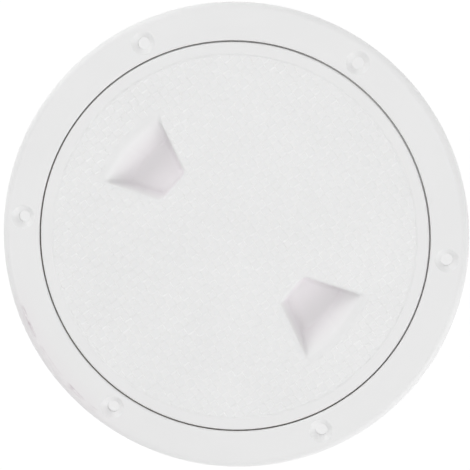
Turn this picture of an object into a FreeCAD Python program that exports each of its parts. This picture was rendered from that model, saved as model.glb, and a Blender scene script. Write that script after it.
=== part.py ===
import FreeCAD, Part
import math
import os

# Deck inspection plate: a screwed-down deck ring, a screw-out cover and its seal.
# Millimetres. The origin is the centre of the screw circle in the deck plane,
# which is the underside of the ring's flange. +Z points up out of the deck and
# +X goes through one of the six screw holes.

# Cover: outline, and how it sits in the deck ring
cover_radius = 83.1
rim_thickness = 2.7
rim_width = 4.7
rim_overlap = 1.7
rim_clearance = 0.3
seam_width = 0.68

# Deck ring: flange with its screw holes
flange_width = 16.22
flange_thickness = 5.0
flange_edge_round = 3.1
screw_count = 6
screw_inset = 9.0
screw_hole_radius = 2.6
countersink_radius = 5.0

# Deck ring: collar that goes through the deck
collar_lip = 1.6
collar_depth = 20.0

# Seal: rubber ring, squeezed a little flat between the cover's rim and its seat
seal_section = 2.5
seal_squeeze = 0.1
seal_fit = 0.05
seal_side_gap = 0.15

# Screw thread: one start, blunt ends, right-hand
thread_lead = 6.0
thread_engagement = 1.8
thread_radial_gap = 0.6
thread_axial_gap = 0.4
thread_crest_narrowing = 0.9
thread_turns_ring = 1.9
thread_turns_cover = 1.75

# Cover: plate, skirt and underside ribs
field_recess = 0.35
field_edge_run = 0.8
plate_thickness = 3.3
skirt_wall = 3.0
skirt_depth = 14.0
rib_count = 8
rib_thickness = 2.2
rib_height = 6.0
hub_radius = 8.0

# Cover: the two finger pockets, in plan and in depth
pocket_axis_angle = 144.5
pocket_skirt_gap = 10.3
pocket_outer_run = 11.3
pocket_inner_run = 17.7
pocket_inner_half_width = 7.6
pocket_leg_angle = 23.6
pocket_inner_depth = 15.0
pocket_crease_depth = 12.6
pocket_draft = 7.0
pocket_wall = 2.4
pocket_lip_run = 2.2
pocket_lip_drop = 0.15
pocket_lip_round = 4.0
pocket_corner_round = 2.4
pocket_crease_round = 1.5
pocket_edge_round = 1.1

small_break = 0.5
cover_edge_break = 0.6

# Radii that follow from the sizes above, from the flange's edge inward
recess_radius = cover_radius + seam_width
flange_radius = recess_radius + flange_width
screw_circle_radius = flange_radius - screw_inset
field_radius = cover_radius - rim_width
seat_radius = cover_radius - rim_overlap
collar_radius = seat_radius + collar_lip
seal_mean_radius = seat_radius - seal_side_gap - seal_section / 2.0
seal_height = seal_section - seal_squeeze
bore_radius = seat_radius - 2.0 * seal_side_gap - seal_section
neck_radius = bore_radius
ring_crest_radius = bore_radius - thread_engagement - thread_radial_gap
cover_crest_radius = bore_radius - thread_radial_gap
cover_root_radius = ring_crest_radius - thread_radial_gap
skirt_inner_radius = cover_root_radius - skirt_wall
pocket_outer_radius = skirt_inner_radius - pocket_skirt_gap
pocket_crease_distance = pocket_outer_radius - pocket_outer_run
pocket_inner_distance = pocket_crease_distance - pocket_inner_run

# Levels that follow from the sizes above, from the top down
flange_top = flange_thickness
field_level = flange_top - field_recess
rim_underside = flange_top - rim_thickness
recess_floor = rim_underside - rim_clearance
plate_underside = field_level - plate_thickness
seat_level = rim_underside - seal_height - 2.0 * seal_fit
neck_level = seat_level + rim_clearance
pocket_floor = field_level - pocket_inner_depth
pocket_crease_level = field_level - pocket_crease_depth
floor_rise = (pocket_crease_level - pocket_floor) / pocket_inner_run
skirt_end = -skirt_depth
collar_end = -collar_depth

# The two threads begin half a lead apart, so that each tooth runs in the middle
# of the other's groove
cover_thread_start = skirt_end + 0.4 * thread_lead
ring_thread_start = cover_thread_start - 0.5 * thread_lead

SHARP = ("sharp", 0.0)


def bevel(size):
    """Corner broken by a straight bevel."""
    return ("bevel", size)


def rounded(size):
    """Corner rounded to a radius."""
    return ("rounded", size)


def section_face(corners):
    """Flat face in the XZ plane from (radius, height, corner form) corners."""
    points = [FreeCAD.Vector(radius, 0, height) for radius, height, form in corners]
    edges = []
    ends = []
    for index, (form, size) in enumerate(corner[2] for corner in corners):
        corner = points[index]
        if form == "sharp":
            ends.append((corner, corner))
            continue
        to_previous = (points[index - 1] - corner).normalize()
        to_next = (points[(index + 1) % len(points)] - corner).normalize()
        half_angle = to_previous.getAngle(to_next) / 2.0
        setback = size if form == "bevel" else size / math.tan(half_angle)
        start = corner + to_previous * setback
        finish = corner + to_next * setback
        if form == "bevel":
            edges.append(Part.makeLine(start, finish))
        else:
            bisector = (to_previous + to_next).normalize()
            centre = corner + bisector * (size / math.sin(half_angle))
            edges.append(Part.Arc(start, centre - bisector * size, finish).toShape())
        ends.append((start, finish))
    for index, (start, finish) in enumerate(ends):
        edges.append(Part.makeLine(finish, ends[(index + 1) % len(ends)][0]))
    return Part.Face(Part.Wire(Part.__sortEdges__(edges)))


def turned(corners):
    """Solid of revolution about Z from a section."""
    face = section_face(corners)
    return face.revolve(FreeCAD.Vector(0, 0, 0), FreeCAD.Vector(0, 0, 1), 360)


def helical_tooth(root_radius, crest_radius, pitch_line_width, first_height, turns, start_angle):
    """One trapezoid thread tooth swept along a right-hand helix, with blunt ends."""
    outward = 1.0 if crest_radius > root_radius else -1.0
    buried = 0.5
    depth = abs(crest_radius - root_radius)
    slope = thread_crest_narrowing / depth
    root_half = pitch_line_width / 2.0 + thread_crest_narrowing / 4.0 + slope * buried / 2.0
    crest_half = pitch_line_width / 2.0 - thread_crest_narrowing / 4.0
    inner_end = root_radius - outward * buried
    section = Part.makePolygon([
        FreeCAD.Vector(inner_end, 0, -root_half),
        FreeCAD.Vector(crest_radius, 0, -crest_half),
        FreeCAD.Vector(crest_radius, 0, crest_half),
        FreeCAD.Vector(inner_end, 0, root_half),
        FreeCAD.Vector(inner_end, 0, -root_half),
    ])
    path = Part.makeHelix(thread_lead, thread_lead * turns, root_radius)
    tooth = Part.Wire(path.Edges).makePipeShell([section], True, True)
    tooth.rotate(FreeCAD.Vector(0, 0, 0), FreeCAD.Vector(0, 0, 1), start_angle)
    tooth.translate(FreeCAD.Vector(0, 0, first_height))
    return tooth


def thread_width_at_pitch_line():
    """Each tooth gets half of the lead, less the clearance on one of its flanks."""
    return thread_lead / 2.0 - thread_axial_gap


def turned_about_z(shape, angle):
    """Copy of a shape turned about the plate's axis by an angle in degrees."""
    copy = shape.copy()
    copy.rotate(FreeCAD.Vector(0, 0, 0), FreeCAD.Vector(0, 0, 1), angle)
    return copy


def make_deck_ring():
    """Flange, recess, seal seat, threaded collar and six countersunk holes."""
    body = turned([
        (bore_radius, collar_end, bevel(small_break)),
        (collar_radius, collar_end, bevel(small_break)),
        (collar_radius, 0.0, SHARP),
        (flange_radius, 0.0, SHARP),
        (flange_radius, flange_top, rounded(flange_edge_round)),
        (recess_radius, flange_top, bevel(small_break)),
        (recess_radius, recess_floor, SHARP),
        (seat_radius, recess_floor, SHARP),
        (seat_radius, seat_level, SHARP),
        (bore_radius, seat_level, bevel(small_break)),
    ])
    thread = helical_tooth(
        bore_radius, ring_crest_radius, thread_width_at_pitch_line(),
        ring_thread_start, thread_turns_ring, 0.0)
    body = body.fuse(thread)
    countersink_depth = countersink_radius - screw_hole_radius
    drill = turned([
        (0.0, -1.0, SHARP),
        (screw_hole_radius, -1.0, SHARP),
        (screw_hole_radius, flange_top - countersink_depth, SHARP),
        (countersink_radius + 0.5, flange_top + 0.5, SHARP),
        (0.0, flange_top + 0.5, SHARP),
    ])
    drill.translate(FreeCAD.Vector(screw_circle_radius, 0, 0))
    for index in range(screw_count):
        body = body.cut(turned_about_z(drill, index * 360.0 / screw_count))
    return body


def make_seal():
    """Rubber ring that sits under the cover's rim, its section pressed from round to slightly oval."""
    middle = FreeCAD.Vector(seal_mean_radius, 0, (rim_underside + seat_level) / 2.0)
    side = middle + FreeCAD.Vector(seal_section / 2.0, 0, 0)
    crown = middle + FreeCAD.Vector(0, 0, seal_height / 2.0)
    section = Part.Wire(Part.Ellipse(side, crown, middle).toShape())
    return Part.Face(section).revolve(FreeCAD.Vector(0, 0, 0), FreeCAD.Vector(0, 0, 1), 360)


def edges_near(shape, places):
    """Edges of a shape that pass within a tenth of a millimetre of one of the places."""
    points = [Part.Vertex(place) for place in places]
    return [edge for edge in shape.Edges if min(edge.distToShape(point)[0] for point in points) < 0.1]


def pocket_inner_side(height, grow):
    """Distance from the cover's axis and half width of a pocket's inner side at a height."""
    lean = math.tan(math.radians(pocket_draft))
    spread = math.tan(math.radians(pocket_leg_angle))
    leg_share = 1.0 / math.cos(math.radians(pocket_leg_angle))
    inset = (field_level - height) * lean - grow
    return pocket_inner_distance + inset, pocket_inner_half_width + inset * (spread - leg_share)


def pocket_leg_point(radius, height, side):
    """Point on a leg wall at a distance from the cover's axis and a height; side is 1 or -1."""
    angle = math.radians(pocket_leg_angle)
    near, half_near = pocket_inner_side(height, 0.0)
    bearing = angle + math.asin((half_near * math.cos(angle) - near * math.sin(angle)) / radius)
    return FreeCAD.Vector(radius * math.cos(bearing), side * radius * math.sin(bearing), height)


def above_pocket_floor(grow):
    """Space above a pocket's floor, which is deepest at the inner wall and rises outward."""
    far = pocket_outer_radius + 4.0 * pocket_wall
    low = pocket_floor - grow * math.hypot(1.0, floor_rise)
    high = flange_top + 2.0
    section = Part.makePolygon([
        FreeCAD.Vector(0, -far, low - pocket_inner_distance * floor_rise),
        FreeCAD.Vector(far, -far, low + (far - pocket_inner_distance) * floor_rise),
        FreeCAD.Vector(far, -far, high),
        FreeCAD.Vector(0, -far, high),
        FreeCAD.Vector(0, -far, low - pocket_inner_distance * floor_rise),
    ])
    return Part.Face(section).extrude(FreeCAD.Vector(0, 2.0 * far, 0))


def pocket_well(grow, top):
    """Space inside a pocket's inner wall, leg walls and floor, with their corners and feet rounded."""
    spread = math.tan(math.radians(pocket_leg_angle))
    far = pocket_outer_radius + 4.0 * pocket_wall
    bottom = pocket_floor - 2.0 * pocket_wall
    sections = []
    for height in (bottom, top):
        near, half_near = pocket_inner_side(height, grow)
        half_far = half_near + (far - near) * spread
        sections.append(Part.makePolygon([
            FreeCAD.Vector(near, -half_near, height),
            FreeCAD.Vector(far, -half_far, height),
            FreeCAD.Vector(far, half_far, height),
            FreeCAD.Vector(near, half_near, height),
            FreeCAD.Vector(near, -half_near, height),
        ]))
    well = Part.makeLoft(sections, True, True).common(above_pocket_floor(grow))
    turned_in = []
    for edge in well.Edges:
        middle = edge.valueAt((edge.FirstParameter + edge.LastParameter) / 2.0)
        if middle.z < top - 0.1 and middle.x < far - 0.1:
            turned_in.append(edge)
    return well.makeFillet(pocket_corner_round + grow, turned_in)


def pocket_cone(grow):
    """Space inside the outer slope, a cone about the cover's axis with a soft rolled lip."""
    lip_radius = pocket_outer_radius - pocket_lip_run
    lip_level = field_level - pocket_lip_drop
    rise = (lip_level - pocket_crease_level) / (lip_radius - pocket_crease_distance)
    shift = grow * math.hypot(1.0, rise) / rise
    below = 3.0 * pocket_wall
    low = pocket_crease_level - below
    high = flange_top + 1.0
    foot = pocket_crease_distance + shift - below / rise
    if grow > 0:
        head = lip_radius + shift + (high - lip_level) / rise
        corners = [(0.0, low, SHARP), (foot, low, SHARP), (head, high, SHARP), (0.0, high, SHARP)]
    else:
        end_radius = pocket_outer_radius + pocket_lip_run
        end_level = field_level + pocket_lip_drop
        corners = [
            (0.0, low, SHARP),
            (foot, low, SHARP),
            (lip_radius, lip_level, rounded(pocket_lip_round)),
            (end_radius, end_level, SHARP),
            (end_radius, high, SHARP),
            (0.0, high, SHARP),
        ]
    return turned(corners)


def flared_well():
    """The well with its inner side and legs rounded over where they come up to the field."""
    well = pocket_well(0.0, flange_top + 1.0)
    far = pocket_outer_radius + 3.0 * pocket_wall
    bottom = pocket_floor - pocket_wall
    block = Part.makeBox(far, 2.0 * far, field_level - bottom, FreeCAD.Vector(0, -far, bottom))
    mouth = [FreeCAD.Vector(pocket_inner_distance, 0, field_level)]
    for side in (1, -1):
        mouth.append(pocket_leg_point(pocket_crease_distance, field_level, side))
    surround = block.cut(well)
    surround = surround.makeFillet(pocket_edge_round, edges_near(surround, mouth))
    return block.cut(surround).fuse(well).removeSplitter()


def pocket_hollow():
    """The space that the fingers go into, on +X, rounded where its outer slope meets the rest."""
    hollow = flared_well().common(pocket_cone(0.0))
    foot = [FreeCAD.Vector(pocket_crease_distance, 0, pocket_crease_level)]
    middle_radius = (pocket_crease_distance + pocket_outer_radius - pocket_lip_run) / 2.0
    middle_level = (pocket_crease_level + field_level - pocket_lip_drop) / 2.0
    for side in (1, -1):
        foot.append(pocket_leg_point(middle_radius, middle_level, side))
    return hollow.makeFillet(pocket_crease_round, edges_near(hollow, foot))


def pocket_box():
    """The moulded wall round a pocket, as a solid block with its top inside the plate."""
    return pocket_well(pocket_wall, field_level - 1.0).common(pocket_cone(pocket_wall))


def make_cover():
    """Plate with rim, threaded skirt, ribs and two finger pockets."""
    body = turned([
        (0.0, plate_underside, SHARP),
        (skirt_inner_radius, plate_underside, SHARP),
        (skirt_inner_radius, skirt_end, bevel(small_break)),
        (cover_root_radius, skirt_end, bevel(small_break)),
        (cover_root_radius, neck_level, SHARP),
        (neck_radius, neck_level, SHARP),
        (neck_radius, rim_underside, SHARP),
        (cover_radius, rim_underside, SHARP),
        (cover_radius, flange_top, bevel(cover_edge_break)),
        (field_radius, flange_top, SHARP),
        (field_radius - field_edge_run, field_level, SHARP),
        (0.0, field_level, SHARP),
    ])
    thread = helical_tooth(
        cover_root_radius, cover_crest_radius, thread_width_at_pitch_line(),
        cover_thread_start, thread_turns_cover, 0.0)
    body = body.fuse(thread)
    hub = Part.makeCylinder(hub_radius, rib_height + 1.0)
    hub.translate(FreeCAD.Vector(0, 0, plate_underside - rib_height))
    under = hub
    rib_reach = skirt_inner_radius + 0.5
    rib = Part.makeBox(rib_reach, rib_thickness, rib_height + 1.0)
    rib.translate(FreeCAD.Vector(0, -rib_thickness / 2.0, plate_underside - rib_height))
    for index in range(rib_count):
        under = under.fuse(turned_about_z(rib, pocket_axis_angle + index * 360.0 / rib_count))
    box = pocket_box()
    hollow = pocket_hollow()
    pocket_angles = (pocket_axis_angle, pocket_axis_angle + 180.0)
    for angle in pocket_angles:
        under = under.fuse(turned_about_z(box, angle))
    body = body.fuse(under)
    for angle in pocket_angles:
        body = body.cut(turned_about_z(hollow, angle))
    return body.removeSplitter()


os.makedirs("parts", exist_ok=True)
for name, maker in (("deck_ring", make_deck_ring), ("o_ring", make_seal), ("cover", make_cover)):
    shape = maker()
    shape.exportStep("parts/" + name + ".step")
    print(name, "valid", shape.isValid(), "solids", len(shape.Solids),
          "volume cm3", round(shape.Volume / 1000.0, 2), shape.BoundBox)
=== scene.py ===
# %% [markdown]
# # A deck inspection plate, dressed for its photograph
#
# The object is a screw-out deck plate: a white plastic ring that is screwed to a boat's deck, and a
# round cover that screws into it. Its solids, sizes and joints already exist as a fixed frame, in
# metres, with +Z up out of the deck. This lesson adds what the solids leave out: the fine non-slip
# pattern on the cover, the plastic and rubber finishes, small scuffs, some painted light and shade,
# and the studio.
#
# The frame comes first, because everything else is placed by it. Its box is kept, and the floor is
# placed under it.

import math

import bpy
import bmesh
from mathutils import Matrix, Vector


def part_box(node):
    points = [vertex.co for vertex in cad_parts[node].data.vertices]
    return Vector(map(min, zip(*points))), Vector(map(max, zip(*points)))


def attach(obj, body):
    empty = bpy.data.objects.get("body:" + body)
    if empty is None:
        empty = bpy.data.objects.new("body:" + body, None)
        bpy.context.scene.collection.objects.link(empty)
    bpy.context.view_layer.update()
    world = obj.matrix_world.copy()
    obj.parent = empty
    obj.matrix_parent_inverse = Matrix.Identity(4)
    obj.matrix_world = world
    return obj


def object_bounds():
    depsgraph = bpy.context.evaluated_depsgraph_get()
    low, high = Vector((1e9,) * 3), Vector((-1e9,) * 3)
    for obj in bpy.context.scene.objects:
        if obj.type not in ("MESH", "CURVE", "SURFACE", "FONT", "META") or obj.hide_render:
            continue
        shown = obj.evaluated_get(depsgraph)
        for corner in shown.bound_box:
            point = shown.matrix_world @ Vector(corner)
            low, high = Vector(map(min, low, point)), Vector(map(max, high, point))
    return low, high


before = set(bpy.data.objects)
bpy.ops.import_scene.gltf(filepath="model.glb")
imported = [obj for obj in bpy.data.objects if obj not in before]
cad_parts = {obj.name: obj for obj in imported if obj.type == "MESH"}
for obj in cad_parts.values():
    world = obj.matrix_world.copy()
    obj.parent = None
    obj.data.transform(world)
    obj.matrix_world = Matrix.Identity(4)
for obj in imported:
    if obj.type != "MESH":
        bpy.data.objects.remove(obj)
solid_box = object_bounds()
MM = 0.001

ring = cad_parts["deck_ring"]
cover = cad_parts["cover"]
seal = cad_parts["o_ring"]

_, cover_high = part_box("cover")
cover_top = cover_high.z
cover_radius = cover_high.x
print("cover radius mm", round(cover_radius / MM, 2), "top at mm", round(cover_top / MM, 2))

# %% [markdown]
# ## The camera
#
# The photograph looks almost straight down. The seam round the cover gives the camera away: it is a
# circle on the object, and in the picture it is an ellipse, 1% narrower across one diagonal. That is a
# lean of a little over 8 degrees. The screw holes on the near side are also spread wider than those on
# the far side, and that fixes the distance at about 0.7 m.
#
# A camera could be placed by eye and nudged. It is placed here by what was measured in the picture,
# because then the pockets and holes fall where they should by themselves. Bearings are counted from
# the first screw hole, and half the length of the seam's ellipse gives the scale. The two aim numbers
# say how far the middle of the picture lies to the right of the cover's middle, and above it.

# %% Place the camera
FRAME_PIXELS = 470
SENSOR_WIDTH_MM = 36.0
camera_lean = math.radians(8.37)
camera_bearing = math.radians(53.1)
picture_up_bearing = math.radians(95.23)
camera_distance = 0.695
seam_radius = 83.38 * MM
seam_radius_pixels = 195.81
aim_right_pixels = 2.36
aim_up_pixels = 3.41
pixels_per_metre = seam_radius_pixels / seam_radius


def put_in_scene(name, data):
    """A new object for a mesh, a light or a camera, linked to the scene."""
    item = bpy.data.objects.new(name, data)
    bpy.context.scene.collection.objects.link(item)
    return item


toward_camera = Vector((
    math.sin(camera_lean) * math.cos(camera_bearing),
    math.sin(camera_lean) * math.sin(camera_bearing),
    math.cos(camera_lean),
))
rough_up = Vector((math.cos(picture_up_bearing), math.sin(picture_up_bearing), 0.0))
picture_right = rough_up.cross(toward_camera).normalized()
picture_up = toward_camera.cross(picture_right)
aim = Vector((0.0, 0.0, cover_top))
aim += picture_right * (aim_right_pixels / pixels_per_metre)
aim += picture_up * (aim_up_pixels / pixels_per_metre)

camera_data = bpy.data.cameras.new("camera")
camera_data.sensor_width = SENSOR_WIDTH_MM
camera_data.lens = SENSOR_WIDTH_MM * pixels_per_metre * camera_distance / FRAME_PIXELS
camera_data.clip_start = 10 * MM
camera = put_in_scene("camera", camera_data)
turn = Matrix((picture_right, picture_up, toward_camera)).transposed().to_4x4()
camera.matrix_world = Matrix.Translation(aim + toward_camera * camera_distance) @ turn
bpy.context.scene.camera = camera
print("lens mm", round(camera_data.lens, 1))

# %% [markdown]
# ## Three small helpers for materials
#
# Colours are written as the hex values that a screen shows, and light is worked out on linear values,
# so the first function turns one into the other. The second adds a node with its settings and links in
# one call, which keeps each material readable as a list of steps. The third starts an empty material.
#
# A node's input goes by its name. Some nodes have several inputs of one name, and those go by number:
# 1 as a setting and _1 as a link are both the second input. A Mix node for colours has its share at 0,
# its two colours at 6 and 7, and the mixed colour at output 2.

# %% Helpers
def linear(hex_colour):
    """A screen colour such as "#E8E8E8" as the linear RGBA that the renderer works in."""
    channels = []
    for start in (1, 3, 5):
        value = int(hex_colour[start:start + 2], 16) / 255.0
        channels.append(value / 12.92 if value <= 0.04045 else ((value + 0.055) / 1.055) ** 2.4)
    return (*channels, 1.0)


def add(tree, kind, settings=None, **links):
    """Adds a node. Settings are properties or input values, links are other nodes' outputs."""
    node = tree.nodes.new(kind)
    for name, value in (settings or {}).items():
        if isinstance(name, int) or name in node.inputs:
            node.inputs[name].default_value = value
        else:
            setattr(node, name, value)
    for name, source in links.items():
        key = int(name[1:]) if name[1:].isdigit() else name.replace("_", " ")
        tree.links.new(source, node.inputs[key])
    return node


def empty_material(name):
    """A material whose node tree is empty, and that tree."""
    material = bpy.data.materials.new(name)
    material.use_nodes = True
    material.node_tree.nodes.clear()
    return material, material.node_tree


print("a screen grey of #808080 is", round(linear("#808080")[0], 3), "of full light")

# %% [markdown]
# ## The plastic of the ring and the cover
#
# Both are injection moulded in ASA, a weather-proof cousin of ABS, filled white. To the eye it is a
# neutral white with a satin shine: the mould's spark-eroded skin leaves a grain of a few tenths of a
# millimetre that breaks reflections up. Sun and handling leave very faint clouds in the colour, and
# wiping leaves patches that are a little smoother than the rest.
#
# A plain white shader would look like paper. The grain is a fine noise in the bump, the clouds are a
# slow noise in the colour, the wiped patches are a third noise in the roughness, and all three are
# scaled from millimetres on the real part. The pads of the non-slip pattern are moulded in one with
# the cover, and their colour is painted one step whiter than the low squares between them: painted
# light, for the light that the pads' bevels catch and the shade that they cast on the low squares.

# %% Moulded ASA
cloud_size = 38 * MM
grain_size = 0.35 * MM
grain_depth = 0.02 * MM
wiped_patch_size = 9 * MM
smoothest = 0.36
roughest = 0.46


def moulded_asa(name, cloud_low, cloud_high):
    """White satin moulded ASA. Returns the material, its tree, colour, shader and place on the part."""
    material, tree = empty_material(name)
    place = add(tree, "ShaderNodeTexCoord")
    clouds = add(tree, "ShaderNodeTexNoise", {"Scale": 1 / cloud_size, "Detail": 3.0, "Roughness": 0.55},
                 Vector=place.outputs["Object"])
    colour = add(tree, "ShaderNodeValToRGB", Fac=clouds.outputs["Fac"])
    colour.color_ramp.elements[0].position = 0.35
    colour.color_ramp.elements[0].color = linear(cloud_low)
    colour.color_ramp.elements[1].position = 0.65
    colour.color_ramp.elements[1].color = linear(cloud_high)
    grain = add(tree, "ShaderNodeTexNoise", {"Scale": 1 / grain_size, "Detail": 2.0, "Roughness": 0.6},
                Vector=place.outputs["Object"])
    grain_bump = add(tree, "ShaderNodeBump", {"Strength": 0.12, "Distance": grain_depth},
                     Height=grain.outputs["Fac"])
    wiped = add(tree, "ShaderNodeTexNoise", {"Scale": 1 / wiped_patch_size, "Detail": 4.0},
                Vector=place.outputs["Object"])
    satin = add(tree, "ShaderNodeMapRange",
                {"From Min": 0.3, "From Max": 0.7, "To Min": smoothest, "To Max": roughest},
                Value=wiped.outputs["Fac"])
    shader = add(tree, "ShaderNodeBsdfPrincipled", {"IOR": 1.52, "Metallic": 0.0},
                 Base_Color=colour.outputs["Color"], Roughness=satin.outputs["Result"],
                 Normal=grain_bump.outputs["Normal"])
    add(tree, "ShaderNodeOutputMaterial", Surface=shader.outputs["BSDF"])
    return material, tree, colour, shader, place


cover_finish, cover_tree, cover_colour, cover_shader, cover_place = moulded_asa(
    "asa_moulded_white_cover", "#F8F8F8", "#FAFAFA")
ring_finish, ring_tree, ring_colour, ring_shader, ring_place = moulded_asa(
    "asa_moulded_white_ring", "#F8F8F8", "#FAFAFA")
# Painted light: the pads' colours are one step whiter than the cover's, for their lit bevels and the
# shade between them.
pads_painted_lighter, _, _, _, _ = moulded_asa("asa_white_pads_painted_lighter", "#F9F9F9", "#FBFBFB")

for node, finish in ((cover, cover_finish), (ring, ring_finish)):
    node.data.materials.clear()
    node.data.materials.append(finish)
print("plastic on", cover.name, "and", ring.name)

# %% [markdown]
# ## Painted shade tint in the finger pockets
#
# Where it is flat the plastic is neutral, but the shade deep in the pockets has a faint pink cast
# that grows towards their bottom. Here that cast is painted into the cover's colour as a pink tint:
# painted shade. It could be painted on by hand, but it goes with depth, so it is mixed in by depth:
# none of it near a pocket's mouth, all of it at the bottom of the well. The skirt lies deeper still,
# so the tint ends at a distance from the axis just past the pockets.

# %% Tint the pockets
shade_tint_top = cover_top - 1.0 * MM
shade_tint_bottom = cover_top - 13.0 * MM
pocket_reach = 64 * MM


def distance_from_axis(tree, position):
    """How far a point on the part is from the axis that the cover turns on."""
    flat = add(tree, "ShaderNodeCombineXYZ", X=position.outputs["X"], Y=position.outputs["Y"])
    return add(tree, "ShaderNodeVectorMath", {"operation": "LENGTH"}, _0=flat.outputs["Vector"])


cover_position = add(cover_tree, "ShaderNodeSeparateXYZ", Vector=cover_place.outputs["Object"])
by_depth = add(cover_tree, "ShaderNodeMapRange", {"From Min": shade_tint_top, "From Max": shade_tint_bottom},
               Value=cover_position.outputs["Z"])
in_reach = add(cover_tree, "ShaderNodeMath", {"operation": "LESS_THAN", 1: pocket_reach},
               _0=distance_from_axis(cover_tree, cover_position).outputs["Value"])
painted_pocket_shade = add(cover_tree, "ShaderNodeMath", {"operation": "MULTIPLY"},
             _0=by_depth.outputs["Result"], _1=in_reach.outputs["Value"])
# Painted shade: a faint pink tint that deepens towards the pockets' bottom.
pocket_shade_tint = add(cover_tree, "ShaderNodeMix", {"data_type": "RGBA", 7: linear("#FCF9FB")},
                  _0=painted_pocket_shade.outputs["Value"], _6=cover_colour.outputs["Color"])
cover_tree.links.new(pocket_shade_tint.outputs[2], cover_shader.inputs["Base Color"])
print("grease from %.1f to %.1f mm below the cover's top" % (
    (cover_top - shade_tint_top) / MM, (cover_top - shade_tint_bottom) / MM))

# %% [markdown]
# ## Where a point is on the ring
#
# The marks on the ring follow its edge. Painting them on an unwrapped picture would stretch them, so
# they are placed round the axis instead: by the bearing from the first screw hole, as a share of a
# whole turn, and by the distance from the axis. A curve turns either of the two into a strength.

# %% Bearing and distance on the ring
ring_position = add(ring_tree, "ShaderNodeSeparateXYZ", Vector=ring_place.outputs["Object"])
bearing = add(ring_tree, "ShaderNodeMath", {"operation": "ARCTAN2"},
              _0=ring_position.outputs["Y"], _1=ring_position.outputs["X"])
turned = add(ring_tree, "ShaderNodeMath", {"operation": "MULTIPLY_ADD", 1: 1 / (2 * math.pi), 2: 1.0},
             _0=bearing.outputs["Value"])
part_turn = add(ring_tree, "ShaderNodeMath", {"operation": "FRACT"}, _0=turned.outputs["Value"])
out_from_axis = distance_from_axis(ring_tree, ring_position)


def curve(source, stops):
    """A strength that follows (value, level) stops, at 0 before the first and after the last."""
    ramp = add(ring_tree, "ShaderNodeValToRGB", Fac=source)
    for end in ramp.color_ramp.elements:
        end.color = (0, 0, 0, 1)
    for value, level in stops:
        stop = ramp.color_ramp.elements.new(value)
        stop.color = (level, level, level, 1)
    return ramp


def curve_round_ring(stops):
    """A strength that follows (bearing in degrees, level) stops round the ring."""
    return curve(part_turn.outputs["Value"], [(degrees / 360, level) for degrees, level in stops])


print("the ring's material has", len(ring_tree.nodes), "nodes so far")

# %% [markdown]
# ## Painted shade on the ring's edge
#
# On the lower left of the view the flange's rounded edge faces away from the two side panels, and
# there it is painted a little darker and faintly pink: painted shade, which starts on the flat and
# deepens towards the edge. It is one weak tint. Its strength is a curve along the edge times a steady
# rise across it.

# %% Paint shade on the ring's edge
rim_shade_inner = 90 * MM
rim_shade_outer = 97 * MM
rim_shade_strength = 0.09
rim_shade_bearings = ((196, 0.0), (206, 1.0), (234, 1.0), (242, 0.5), (252, 0.0))

rim_shade_along = curve_round_ring(rim_shade_bearings)
rim_shade_across = add(ring_tree, "ShaderNodeMapRange",
                  {"From Min": rim_shade_inner, "From Max": rim_shade_outer, "To Max": rim_shade_strength},
                  Value=out_from_axis.outputs["Value"])
painted_rim_shade = add(ring_tree, "ShaderNodeMath", {"operation": "MULTIPLY"},
           _0=rim_shade_along.outputs["Color"], _1=rim_shade_across.outputs["Result"])
# Painted shade: a pink tint on the side of the edge that faces away from the side panels.
rim_shade_tint = add(ring_tree, "ShaderNodeMix", {"data_type": "RGBA", 7: linear("#E8CAD8")},
                _0=painted_rim_shade.outputs["Value"], _6=ring_colour.outputs["Color"])
print("haze from", rim_shade_bearings[0][0], "to", rim_shade_bearings[-1][0], "degrees")

# %% [markdown]
# ## Scuffs in the painted shade
#
# Faint purple-brown streaks lie in the painted shade, each a few millimetres to a centimetre and a
# half long, just where the flat turns over. Each is a stretch of bearings with its own weight and
# short faded ends, all in degrees. A curve across the edge keeps them in one band, with its levels
# placed by shares of the band's width. A noise that is drawn out along the edge breaks them into fine
# lines.

# %% Scuff the ring
scuffs = ((204.2, 211.9, 0.85), (214.8, 223.5, 0.3), (227.3, 231.8, 0.85), (235.3, 236.8, 0.5))
scuff_fade = 0.8
scuff_radius = 96 * MM
band_inner = scuff_radius - 1.0 * MM
band_outer = scuff_radius + 3.0 * MM
band_levels = ((0.15, 0.0), (0.28, 1.0), (0.42, 1.0), (0.55, 0.35), (0.95, 0.0))
streak_length = 4 * MM
streak_width = 0.9 * MM

scuff_bearings = []
for first, last, weight in scuffs:
    scuff_bearings += [(first - scuff_fade, 0.0), (first, weight)]
    scuff_bearings += [(last, weight), (last + scuff_fade, 0.0)]
scuff_along = curve_round_ring(scuff_bearings)
across_band = add(ring_tree, "ShaderNodeMapRange", {"From Min": band_inner, "From Max": band_outer},
                  Value=out_from_axis.outputs["Value"])
scuff_across = curve(across_band.outputs["Result"], band_levels)

streak_along = add(ring_tree, "ShaderNodeMath",
                   {"operation": "MULTIPLY", 1: 2 * math.pi * scuff_radius / streak_length},
                   _0=part_turn.outputs["Value"])
streak_across = add(ring_tree, "ShaderNodeMath", {"operation": "MULTIPLY", 1: 1 / streak_width},
                    _0=out_from_axis.outputs["Value"])
streak_place = add(ring_tree, "ShaderNodeCombineXYZ",
                   X=streak_along.outputs["Value"], Y=streak_across.outputs["Value"])
streaks = add(ring_tree, "ShaderNodeTexNoise", {"Scale": 1.0, "Detail": 3.0, "Roughness": 0.65},
              Vector=streak_place.outputs["Vector"])
fine_lines = add(ring_tree, "ShaderNodeMapRange", {"From Min": 0.4, "From Max": 0.68},
                 Value=streaks.outputs["Fac"])

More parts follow.
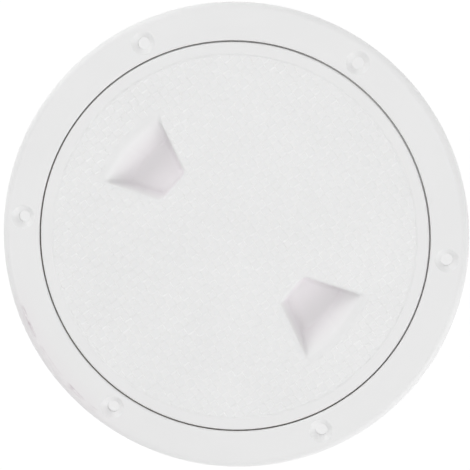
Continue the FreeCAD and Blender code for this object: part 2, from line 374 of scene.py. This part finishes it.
along_and_across = add(ring_tree, "ShaderNodeMath", {"operation": "MULTIPLY"},
                       _0=scuff_along.outputs["Color"], _1=scuff_across.outputs["Color"])
scuff = add(ring_tree, "ShaderNodeMath", {"operation": "MULTIPLY"},
            _0=along_and_across.outputs["Value"], _1=fine_lines.outputs["Result"])
scuff_tint = add(ring_tree, "ShaderNodeMix", {"data_type": "RGBA", 7: linear("#CDC1C8")},
                 _0=scuff.outputs["Value"], _6=rim_shade_tint.outputs[2])
print("scuffs on the ring:", len(scuffs))

# %% [markdown]
# ## Painted shade in the seam
#
# The seam round the cover is the darkest line of the object: a narrow gap in shade. That shade is
# painted on the ring's side, which the camera sees: a thin grey-brown band down the wall and at the
# wall's foot, painted shade. The band ends below the rounded edge at the top. A darker plastic would
# spoil the flange, so only that band is tinted.

# %% Tint the ring's side of the seam
seam_shade_radius = cover_radius + 0.62 * MM
seam_shade_reach = 0.14 * MM
seam_shade_top = cover_top - 1.0 * MM
on_the_wall = add(ring_tree, "ShaderNodeMath", {"operation": "COMPARE", 1: seam_shade_radius, 2: seam_shade_reach},
                  _0=out_from_axis.outputs["Value"])
below_the_edge = add(ring_tree, "ShaderNodeMath", {"operation": "LESS_THAN", 1: seam_shade_top},
                     _0=ring_position.outputs["Z"])
painted_seam_shade = add(ring_tree, "ShaderNodeMath", {"operation": "MULTIPLY"},
            _0=on_the_wall.outputs["Value"], _1=below_the_edge.outputs["Value"])
# Painted shade: a grey-brown band on the ring's wall inside the seam.
seam_shade_tint = add(ring_tree, "ShaderNodeMix", {"data_type": "RGBA", 7: linear("#B4AFAA")},
                 _0=painted_seam_shade.outputs["Value"], _6=scuff_tint.outputs[2])
ring_tree.links.new(seam_shade_tint.outputs[2], ring_shader.inputs["Base Color"])
print("grime on the ring within %.2f mm of radius %.2f mm" % (seam_shade_reach / MM, seam_shade_radius / MM))

# %% [markdown]
# ## The seal
#
# The seal under the cover's rim is nitrile rubber, moulded and then tumbled, so it is a dull near
# black with a soft sheen and a faint grey bloom. One noise of a few millimetres serves for both the
# bloom and the slightly uneven skin, because on rubber they come together.

# %% Nitrile rubber
bloom_size = 3 * MM
skin_depth = 0.03 * MM
rubber, rubber_tree = empty_material("nitrile_rubber_moulded")
rubber_place = add(rubber_tree, "ShaderNodeTexCoord")
bloom = add(rubber_tree, "ShaderNodeTexNoise", {"Scale": 1 / bloom_size, "Detail": 4.0},
            Vector=rubber_place.outputs["Object"])
rubber_colour = add(rubber_tree, "ShaderNodeValToRGB", Fac=bloom.outputs["Fac"])
rubber_colour.color_ramp.elements[0].color = linear("#101011")
rubber_colour.color_ramp.elements[1].color = linear("#1B1B1C")
rubber_skin = add(rubber_tree, "ShaderNodeBump", {"Strength": 0.3, "Distance": skin_depth},
                  Height=bloom.outputs["Fac"])
rubber_shader = add(rubber_tree, "ShaderNodeBsdfPrincipled", {"Roughness": 0.62, "IOR": 1.52},
                    Base_Color=rubber_colour.outputs["Color"], Normal=rubber_skin.outputs["Normal"])
add(rubber_tree, "ShaderNodeOutputMaterial", Surface=rubber_shader.outputs["BSDF"])
seal.data.materials.clear()
seal.data.materials.append(rubber)
print("rubber on", seal.name)

# %% [markdown]
# ## The non-slip pattern
#
# The cover's sunk field carries a chequerboard of low pads, like the black squares of a chessboard
# raised a third of a millimetre. Averaged over the whole photograph, one square measures 3.31 mm, the
# board is turned 40.2 degrees from the first screw hole, and a corner of the board lies on the cover's
# axis. Each pad is a little brighter along the two sides that face the side lights, and the low squares
# beside them are a little darker: the sides slope.
#
# This could be a bump texture, but a bump has no silhouette and fails in other views. Each pad is
# real geometry: a low stepped pyramid with a flat top, wider in its bevels towards the lights. There
# are fewer than a thousand, so they stay cheap.
#
# A pad is built up from four rings of four corners. A ring is given by half its length and half its
# width, as shares of a square, and by its height, as a share of the pad's. The lowest lies under the
# field's surface, so that no gap shows.

# %% Sizes of the pattern
square = 3.31 * MM
board_turn = math.radians(40.2)
field_depth = 0.35 * MM
rim_width = 4.7 * MM
plain_edge = 0.9 * MM
field_level = cover_top - field_depth
field_radius = cover_radius - rim_width - plain_edge
pad_height = 0.32 * MM
pad_rings = ((0.500, 0.500, -0.15), (0.500, 0.500, 0.0), (0.470, 0.380, 0.75), (0.450, 0.300, 1.0))
pad_reach = square / math.sqrt(2)


def at_bearing(bearing):
    """Level unit vector at a bearing from the first screw hole."""
    return Vector((math.cos(bearing), math.sin(bearing), 0))


along_board = at_bearing(board_turn)
across_board = at_bearing(board_turn + math.pi / 2)


def add_pad(mesh, middle):
    """One pad: rings of four corners, each higher and narrower, closed below and on top."""
    rings = []
    for half_along, half_across, height in pad_rings:
        level = field_level + height * pad_height
        corners = []
        for along_side, across_side in ((1, 1), (-1, 1), (-1, -1), (1, -1)):
            spot = middle + (along_board * along_side * half_along
                             + across_board * across_side * half_across) * square
            corners.append(mesh.verts.new((spot.x, spot.y, level)))
        rings.append(corners)
    faces = [mesh.faces.new(reversed(rings[0])), mesh.faces.new(rings[-1])]
    for lower, upper in zip(rings, rings[1:]):
        for first in range(4):
            second = (first + 1) % 4
            side = (lower[first], lower[second], upper[second], upper[first])
            faces.append(mesh.faces.new(side))
    return faces


print("pattern out to mm", round(field_radius / MM, 2), "pads high mm", round(pad_height / MM, 2))

# %% [markdown]
# ## Where the pattern stops
#
# In the mould the pattern is cut into one insert that ends at the field's edge and at the mouths of
# the two finger pockets, so pads there are cut through. Here an upright plane cuts each such pad: the
# plane that touches the field's edge beside the pad, or the side of a pocket's mouth that is nearest
# to it. A boolean with the whole outline would give the same pads, but is slow on so many small bodies.

# %% Edges of the pattern
pocket_bearings = (math.radians(144.5), math.radians(324.5))
mouth_margin = 1.1 * MM
mouth_near = 33.3 * MM
mouth_far = 62.3 * MM
mouth_half_near = 7.6 * MM
leg_angle = math.radians(23.6)
same_point = 1e-9


def mouth_sides(pocket_bearing, middle):
    """The four sides of a pocket's mouth: a point on each, and the direction away from the mouth."""
    along = at_bearing(pocket_bearing)
    across = at_bearing(pocket_bearing + math.pi / 2)
    outward = middle.normalized()
    sides = [(along * mouth_near, -along), (outward * mouth_far, outward)]
    for hand in (1, -1):
        corner = along * mouth_near + across * hand * mouth_half_near
        sides.append((corner, at_bearing(pocket_bearing + hand * (math.pi / 2 + leg_angle))))
    return [(point + away * mouth_margin, away) for point, away in sides]


def clip(mesh, faces, point, keep):
    """Cuts a pad with an upright plane, drops the part behind it and closes the cut."""
    parts = set(faces)
    for face in faces:
        parts.update(face.verts)
        parts.update(face.edges)
    cut = bmesh.ops.bisect_plane(mesh, geom=list(parts), dist=same_point, plane_co=point,
                                 plane_no=keep, clear_inner=True)
    edges = [part for part in cut["geom_cut"] if isinstance(part, bmesh.types.BMEdge)]
    if edges:
        bmesh.ops.edgeloop_fill(mesh, edges=edges)


print("pocket mouths from mm", round(mouth_near / MM, 1), "to", round(mouth_far / MM, 1))

# %% [markdown]
# ## Laying the board out
#
# Rows and columns are counted from the axis, and every second square gets a pad, as on the mould's
# insert. A pad that reaches past an edge of the pattern is cut there, and one that lies wholly past it
# is cut away, so only what is left is counted. All pads are one mesh that turns and lifts with the
# cover, because they are one moulding.

# %% Lay the board out and trim it
board = bmesh.new()
pad_count = 0
squares_from_axis = int(field_radius / square) + 2
for column in range(-squares_from_axis, squares_from_axis):
    for row in range(-squares_from_axis, squares_from_axis):
        middle = (along_board * (column + 0.5) + across_board * (row + 0.5)) * square
        if (column + row) % 2 or middle.length > field_radius + pad_reach:
            continue
        faces_before = len(board.faces)
        pad = add_pad(board, middle)
        cuts = []
        if middle.length > field_radius - pad_reach:
            cuts.append((middle.normalized() * field_radius, -middle.normalized()))
        for pocket_bearing in pocket_bearings:
            sides = mouth_sides(pocket_bearing, middle)
            clearance, nearest = max(((middle - point).dot(away), index)
                                     for index, (point, away) in enumerate(sides))
            if clearance < pad_reach:
                cuts.append(sides[nearest])
        for point, keep in cuts:
            clip(board, [face for face in pad if face.is_valid], point, keep)
        if len(board.faces) > faces_before:
            pad_count += 1
pads_mesh = bpy.data.meshes.new("non_slip_pads")
board.to_mesh(pads_mesh)
board.free()
pads_mesh.materials.append(pads_painted_lighter)
pads = put_in_scene("non_slip_pads", pads_mesh)
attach(pads, "cover")
print("pads:", pad_count, "faces:", len(pads_mesh.polygons))

# %% [markdown]
# ## The floor
#
# The photograph is cut out on pure white. The floor is a white sheet under the collar. What the camera
# sees of it is mostly a plain white, so that the background is as bright as the picture's without more
# light on the plastic, and the rest is an ordinary matt surface that still takes the soft shadow.
#
# So the sheet is a matt surface mixed with a plain glow. The glow is there for the camera and for what
# is seen in reflections or through something clear, so that the plastic mirrors the same background
# that the picture shows. It lights nothing.

# %% Floor
half_floor = 1.5
floor_gap = 0.05 * MM
floor_level = solid_box[0][2] - floor_gap


def stage_sheet(name, matt_colour, glow_colour, glow_strength, glow_share):
    """A matt sheet that shows a plain glow to the camera and in reflections."""
    material, tree = empty_material(name)
    ray = add(tree, "ShaderNodeLightPath")
    seen = add(tree, "ShaderNodeMath", {"operation": "MAXIMUM"},
               _0=ray.outputs["Is Camera Ray"], _1=ray.outputs["Is Glossy Ray"])
    seen_at_all = add(tree, "ShaderNodeMath", {"operation": "MAXIMUM"},
                      _0=seen.outputs["Value"], _1=ray.outputs["Is Transmission Ray"])
    share = add(tree, "ShaderNodeMath", {"operation": "MULTIPLY", 1: glow_share},
                _0=seen_at_all.outputs["Value"])
    matt = add(tree, "ShaderNodeBsdfDiffuse", {"Color": linear(matt_colour)})
    glow = add(tree, "ShaderNodeEmission", {"Color": linear(glow_colour), "Strength": glow_strength})
    sheet = add(tree, "ShaderNodeMixShader",
                _0=share.outputs["Value"], _1=matt.outputs["BSDF"], _2=glow.outputs["Emission"])
    add(tree, "ShaderNodeOutputMaterial", Surface=sheet.outputs["Shader"])
    return material


floor_data = bpy.data.meshes.new("floor")
floor_corners = [(x_side * half_floor, y_side * half_floor, floor_level)
                 for x_side, y_side in ((-1, -1), (1, -1), (1, 1), (-1, 1))]
floor_data.from_pydata(floor_corners, [], [(0, 1, 2, 3)])
floor = put_in_scene("floor", floor_data)
floor_data.materials.append(stage_sheet("matt_white_paper", "#F4F4F4", "#FFFFFF",
                                        glow_strength=1.08, glow_share=0.85))
print("floor at mm", round(floor_level / MM, 2))

# %% [markdown]
# ## What shows through the screw holes
#
# The screw holes show a pale grey, a shade darker than the background: the table that the plate lay
# on, in the plate's shade. Grey plugs in the holes would show from every side, so a round sheet of
# pale grey card under the plate stands for that shaded table: painted shade. It ends inside the
# flange's outline, and is moved by as much as the leaning camera looks past the holes.

# %% Card under the plate
card_margin = 1.5 * MM
card_lift = 0.02 * MM
card_segments = 96
_, ring_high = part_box("deck_ring")
card_radius = ring_high.x - card_margin
look_past = (ring_high.z - floor_level) * math.tan(camera_lean)
card_middle = (-look_past * math.cos(camera_bearing), -look_past * math.sin(camera_bearing))
card_mesh = bmesh.new()
bmesh.ops.create_circle(card_mesh, cap_ends=True, segments=card_segments, radius=card_radius,
                        matrix=Matrix.Translation((*card_middle, floor_level + card_lift)))
card_data = bpy.data.meshes.new("shade_card_under_plate")
card_mesh.to_mesh(card_data)
card_mesh.free()
card = put_in_scene("shade_card_under_plate", card_data)
# Painted shade: the card's grey stands for the table in the plate's shade.
card_data.materials.append(stage_sheet("painted_shade_pale_card", "#E4E4E4", "#F6F6F6",
                                       glow_strength=1.0, glow_share=0.8))
print("card radius mm", round(card_radius / MM, 1), "moved by mm", round(look_past / MM, 1))

# %% [markdown]
# ## The light from everywhere
#
# The plastic in the photograph is almost flat in tone, so much of the light comes from everywhere.
# That could be a ring of many lamps. A pale world does the same with two numbers: it is brighter at
# the horizon, which fills the slopes, and weaker overhead, where a panel adds light.

# %% World
horizon_strength = 0.72
zenith_strength = 0.30
world = bpy.data.worlds.new("studio")
bpy.context.scene.world = world
world.use_nodes = True
world.node_tree.nodes.clear()
sky = add(world.node_tree, "ShaderNodeTexCoord")
heights = add(world.node_tree, "ShaderNodeSeparateXYZ", Vector=sky.outputs["Generated"])
brightness = add(world.node_tree, "ShaderNodeMapRange",
                 {"To Min": horizon_strength, "To Max": zenith_strength},
                 Value=heights.outputs["Z"])
pale = add(world.node_tree, "ShaderNodeBackground", {"Color": linear("#FFFFFF")},
           Strength=brightness.outputs["Result"])
add(world.node_tree, "ShaderNodeOutputWorld", Surface=pale.outputs["Background"])
print("world from", horizon_strength, "at the horizon to", zenith_strength, "overhead")

# %% [markdown]
# ## The panels
#
# A large soft panel hangs overhead. Two smaller panels stand low to the upper left and lower right of
# the picture. They brighten what slopes towards them, in the countersinks, the pads, the pockets and
# the rounded rim, and leave what slopes to the lower left and upper right a little darker.
#
# They are placed by the picture and not by the part, because that is where their light was seen: a
# bearing of 0 is to the right of the picture, and a height angle of 90 is straight above the cover.
# Sizes and distances are in metres. The standard view then shows the colours as they were written.

# %% Panels
def panel(name, bearing, height_angle, distance, width, length, watts):
    """A soft area light that faces the cover, placed by picture bearing and height angle."""
    data = bpy.data.lights.new(name, "AREA")
    data.shape = "RECTANGLE"
    data.size = width
    data.size_y = length
    data.energy = watts
    light = put_in_scene(name, data)
    around = math.radians(bearing) + picture_up_bearing - math.pi / 2
    up = math.radians(height_angle)
    direction = Vector((math.cos(up) * math.cos(around), math.cos(up) * math.sin(around), math.sin(up)))
    light.location = direction * distance
    light.rotation_euler = direction.to_track_quat("Z", "Y").to_euler()
    print("panel", name, "with", watts, "watts")


panel("overhead", bearing=0, height_angle=90, distance=2.2, width=1.6, length=1.6, watts=8.6)
panel("upper_left", bearing=132, height_angle=28, distance=1.8, width=1.2, length=1.0, watts=9.5)
panel("lower_right", bearing=-45, height_angle=28, distance=1.8, width=1.2, length=1.0, watts=10.0)
bpy.context.scene.view_settings.view_transform = "Standard"

# %% [markdown]
# ## Close
#
